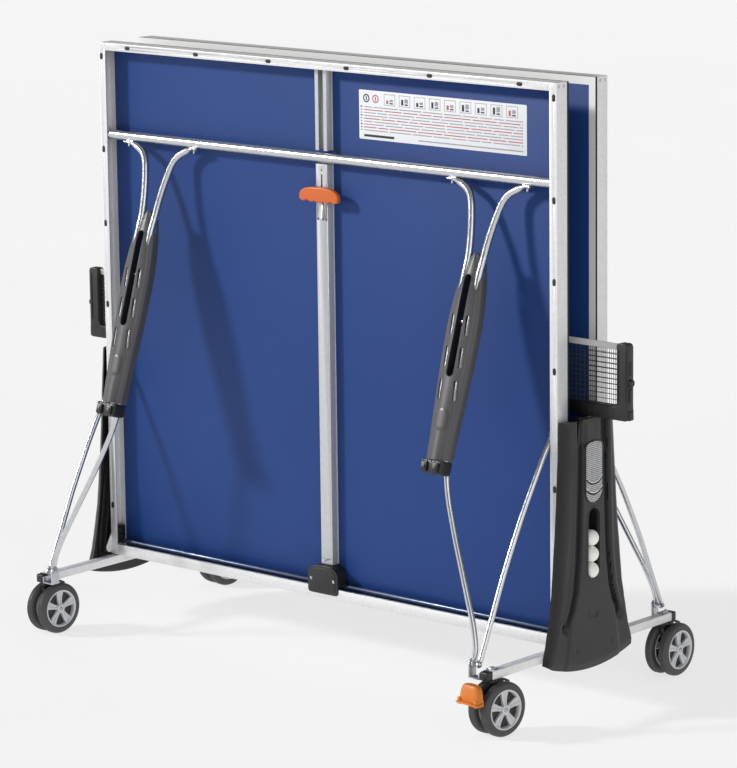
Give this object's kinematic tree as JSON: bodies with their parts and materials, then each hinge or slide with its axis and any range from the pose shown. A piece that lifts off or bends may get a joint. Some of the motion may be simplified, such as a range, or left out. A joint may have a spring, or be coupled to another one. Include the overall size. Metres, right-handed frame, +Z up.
{
  "type": "folding outdoor table tennis table",
  "caption": "Compact folding outdoor table tennis table in storage position: two half tops fold up on a wheeled undercarriage.",
  "frame": {"origin": "on the floor, in the middle of the folded table, under the net line", "axes": "+X along the net towards the right-hand net post, -Y towards the half top that carries the label, +Z up"},
  "size_m": [1.83, 0.8676, 1.536],
  "materials": {
    "deck_blue": "satin laminate",
    "frame_white": "satin powder coat",
    "chassis_black": "satin powder coat",
    "tube_silver": "satin powder coat",
    "pod_grey": "fine texture",
    "shell_grey": "fine texture",
    "pad_grey": "dotted rubbery pad",
    "black_plastic": "fine texture",
    "accent_orange": "satin",
    "ball_white": "smooth",
    "net_black": "knotted mesh",
    "tape_white": "woven",
    "tyre_black": "grooved",
    "fork_black": "fine texture",
    "label_white": "satin print film",
    "rod_steel": "zinc plated"
  },
  "bodies": {
    "chassis": {"base_tube_left": "tube_silver", "base_tube_right": "tube_silver", "base_end_caps": "black_plastic", "crossbeam": "tube_silver", "end_frames": "chassis_black", "pod_cover_left": "pod_grey", "pod_cover_right": "pod_grey", "racket_holders": "pad_grey", "practice_balls": "ball_white", "stay_brackets": "tube_silver", "net_post_left": "black_plastic", "net_post_right": "black_plastic", "net_mesh": "net_black", "net_tape": "tape_white"},
    "carriage_front": {"guide_shoes_front": "black_plastic"},
    "half_top_front": {"top_board_front": "deck_blue", "side_rails_front": "frame_white", "cross_rails_front": "frame_white", "centre_beam_front": "frame_white", "lock_fittings_front": "black_plastic", "info_label": "label_white"},
    "leg_set_front": {"leg_bar_front": "tube_silver", "leg_tubes_front": "tube_silver", "leg_shells_front": "shell_grey", "leg_feet_front": "black_plastic"},
    "arms_front": {"folding_arms_front": "tube_silver"},
    "stays_front": {"folding_stays_front": "tube_silver"},
    "handle_front": {"lock_handle_front": "accent_orange"},
    "lock_rod_left_front": {"lock_rod_left_front": "rod_steel"},
    "lock_rod_right_front": {"lock_rod_right_front": "rod_steel"},
    "carriage_back": {"guide_shoes_back": "black_plastic"},
    "half_top_back": {"top_board_back": "deck_blue", "side_rails_back": "frame_white", "cross_rails_back": "frame_white", "centre_beam_back": "frame_white", "lock_fittings_back": "black_plastic"},
    "leg_set_back": {"leg_bar_back": "tube_silver", "leg_tubes_back": "tube_silver", "leg_shells_back": "shell_grey", "leg_feet_back": "black_plastic"},
    "arms_back": {"folding_arms_back": "tube_silver"},
    "stays_back": {"folding_stays_back": "tube_silver"},
    "handle_back": {"lock_handle_back": "accent_orange"},
    "lock_rod_left_back": {"lock_rod_left_back": "rod_steel"},
    "lock_rod_right_back": {"lock_rod_right_back": "rod_steel"},
    "caster_front_right": {"caster_fork_front_right": "fork_black"},
    "wheel_a_front_right": {"wheel_a_front_right": "tyre_black"},
    "wheel_b_front_right": {"wheel_b_front_right": "tyre_black"},
    "brake_front_right": {"brake_pedal_front_right": "accent_orange"},
    "caster_front_left": {"caster_fork_front_left": "fork_black"},
    "wheel_a_front_left": {"wheel_a_front_left": "tyre_black"},
    "wheel_b_front_left": {"wheel_b_front_left": "tyre_black"},
    "caster_back_right": {"caster_fork_back_right": "fork_black"},
    "wheel_a_back_right": {"wheel_a_back_right": "tyre_black"},
    "wheel_b_back_right": {"wheel_b_back_right": "tyre_black"},
    "caster_back_left": {"caster_fork_back_left": "fork_black"},
    "wheel_a_back_left": {"wheel_a_back_left": "tyre_black"},
    "wheel_b_back_left": {"wheel_b_back_left": "tyre_black"},
    "brake_back_left": {"brake_pedal_back_left": "accent_orange"}
  },
  "joints": [
    {"name": "lift_front", "type": "slide", "parent": "chassis", "child": "carriage_front", "axis": [0, 0.1485, 0.9889], "range_m": [0, 0.5319]},
    {"name": "panel_hinge_front", "type": "hinge", "parent": "carriage_front", "child": "half_top_front", "pos_m": [0, -0.101, 0.184], "axis": [1, 0, 0], "range_deg": [0, 90]},
    {"name": "leg_hinge_front", "type": "hinge", "parent": "half_top_front", "child": "leg_set_front", "pos_m": [0, -0.082, 1.295], "axis": [1, 0, 0], "range_deg": [-72.7, 0]},
    {"name": "arm_hinge_front", "type": "hinge", "parent": "half_top_front", "child": "arms_front", "pos_m": [0, -0.075, 0.68769], "axis": [1, 0, 0], "range_deg": [-44.53, 0]},
    {"name": "stay_hinge_front", "type": "hinge", "parent": "chassis", "child": "stays_front", "pos_m": [0, -0.358, 0.174], "axis": [1, 0, 0], "range_deg": [0, 87.83]},
    {"name": "handle_slide_front", "type": "slide", "parent": "half_top_front", "child": "handle_front", "axis": [0, 0, 1], "range_m": [0, 0.017]},
    {"name": "lock_rod_slide_left_front", "type": "slide", "parent": "half_top_front", "child": "lock_rod_left_front", "axis": [1, 0, 0], "range_m": [0, 0.012]},
    {"name": "lock_rod_slide_right_front", "type": "slide", "parent": "half_top_front", "child": "lock_rod_right_front", "axis": [-1, 0, 0], "range_m": [0, 0.012]},
    {"name": "lift_back", "type": "slide", "parent": "chassis", "child": "carriage_back", "axis": [0, -0.1485, 0.9889], "range_m": [0, 0.5319]},
    {"name": "panel_hinge_back", "type": "hinge", "parent": "carriage_back", "child": "half_top_back", "pos_m": [0, 0.101, 0.184], "axis": [-1, 0, 0], "range_deg": [0, 90]},
    {"name": "leg_hinge_back", "type": "hinge", "parent": "half_top_back", "child": "leg_set_back", "pos_m": [0, 0.082, 1.295], "axis": [-1, 0, 0], "range_deg": [-72.7, 0]},
    {"name": "arm_hinge_back", "type": "hinge", "parent": "half_top_back", "child": "arms_back", "pos_m": [0, 0.075, 0.68769], "axis": [-1, 0, 0], "range_deg": [-44.53, 0]},
    {"name": "stay_hinge_back", "type": "hinge", "parent": "chassis", "child": "stays_back", "pos_m": [0, 0.358, 0.174], "axis": [-1, 0, 0], "range_deg": [0, 87.83]},
    {"name": "handle_slide_back", "type": "slide", "parent": "half_top_back", "child": "handle_back", "axis": [0, 0, 1], "range_m": [0, 0.017]},
    {"name": "lock_rod_slide_left_back", "type": "slide", "parent": "half_top_back", "child": "lock_rod_left_back", "axis": [1, 0, 0], "range_m": [0, 0.012]},
    {"name": "lock_rod_slide_right_back", "type": "slide", "parent": "half_top_back", "child": "lock_rod_right_back", "axis": [-1, 0, 0], "range_m": [0, 0.012]},
    {"name": "swivel_front_right", "type": "hinge", "parent": "chassis", "child": "caster_front_right", "pos_m": [0.756, -0.343, 0.14], "axis": [0, 0, 1], "continuous": true},
    {"name": "roll_a_front_right", "type": "hinge", "parent": "caster_front_right", "child": "wheel_a_front_right", "pos_m": [0.7792, -0.32794, 0.067], "axis": [0.9912, -0.1323, 0], "continuous": true},
    {"name": "roll_b_front_right", "type": "hinge", "parent": "caster_front_right", "child": "wheel_b_front_right", "pos_m": [0.73757, -0.32238, 0.067], "axis": [0.9912, -0.1323, 0], "continuous": true},
    {"name": "brake_hinge_front_right", "type": "hinge", "parent": "caster_front_right", "child": "brake_front_right", "pos_m": [0.74939, -0.39256, 0.118], "axis": [0.9912, -0.1323, 0], "range_deg": [0, 14]},
    {"name": "swivel_front_left", "type": "hinge", "parent": "chassis", "child": "caster_front_left", "pos_m": [-0.756, -0.343, 0.14], "axis": [0, 0, 1], "continuous": true},
    {"name": "roll_a_front_left", "type": "hinge", "parent": "caster_front_left", "child": "wheel_a_front_left", "pos_m": [-0.73385, -0.32643, 0.067], "axis": [0.9978, -0.0663, 0], "continuous": true},
    {"name": "roll_b_front_left", "type": "hinge", "parent": "caster_front_left", "child": "wheel_b_front_left", "pos_m": [-0.77576, -0.32365, 0.067], "axis": [0.9978, -0.0663, 0], "continuous": true},
    {"name": "swivel_back_right", "type": "hinge", "parent": "chassis", "child": "caster_back_right", "pos_m": [0.756, 0.343, 0.14], "axis": [0, 0, 1], "continuous": true},
    {"name": "roll_a_back_right", "type": "hinge", "parent": "caster_back_right", "child": "wheel_a_back_right", "pos_m": [0.77655, 0.36151, 0.067], "axis": [0.9997, 0.0244, 0], "continuous": true},
    {"name": "roll_b_back_right", "type": "hinge", "parent": "caster_back_right", "child": "wheel_b_back_right", "pos_m": [0.73457, 0.36048, 0.067], "axis": [0.9997, 0.0244, 0], "continuous": true},
    {"name": "swivel_back_left", "type": "hinge", "parent": "chassis", "child": "caster_back_left", "pos_m": [-0.756, 0.343, 0.14], "axis": [0, 0, 1], "continuous": true},
    {"name": "roll_a_back_left", "type": "hinge", "parent": "caster_back_left", "child": "wheel_a_back_left", "pos_m": [-0.7792, 0.32794, 0.067], "axis": [-0.9912, 0.1323, 0], "continuous": true},
    {"name": "roll_b_back_left", "type": "hinge", "parent": "caster_back_left", "child": "wheel_b_back_left", "pos_m": [-0.73757, 0.32238, 0.067], "axis": [-0.9912, 0.1323, 0], "continuous": true},
    {"name": "brake_hinge_back_left", "type": "hinge", "parent": "caster_back_left", "child": "brake_back_left", "pos_m": [-0.74939, 0.39256, 0.118], "axis": [-0.9912, 0.1323, 0], "range_deg": [0, 14]}
  ],
  "couplings": [
    {"joint": "panel_hinge_front", "follows": "lift_front", "rad_per_m": 2.9532},
    {"joint": "leg_hinge_front", "follows": "lift_front", "rad_per_m": -2.3855},
    {"joint": "arm_hinge_front", "follows": "lift_front", "rad_per_m": -1.4613},
    {"joint": "stay_hinge_front", "follows": "lift_front", "rad_per_m": 2.8818},
    {"joint": "lock_rod_slide_left_front", "follows": "handle_slide_front", "ratio": 0.705},
    {"joint": "lock_rod_slide_right_front", "follows": "handle_slide_front", "ratio": 0.705},
    {"joint": "panel_hinge_back", "follows": "lift_back", "rad_per_m": 2.9532},
    {"joint": "leg_hinge_back", "follows": "lift_back", "rad_per_m": -2.3855},
    {"joint": "arm_hinge_back", "follows": "lift_back", "rad_per_m": -1.4613},
    {"joint": "stay_hinge_back", "follows": "lift_back", "rad_per_m": 2.8818},
    {"joint": "lock_rod_slide_left_back", "follows": "handle_slide_back", "ratio": 0.705},
    {"joint": "lock_rod_slide_right_back", "follows": "handle_slide_back", "ratio": 0.705}
  ]
}
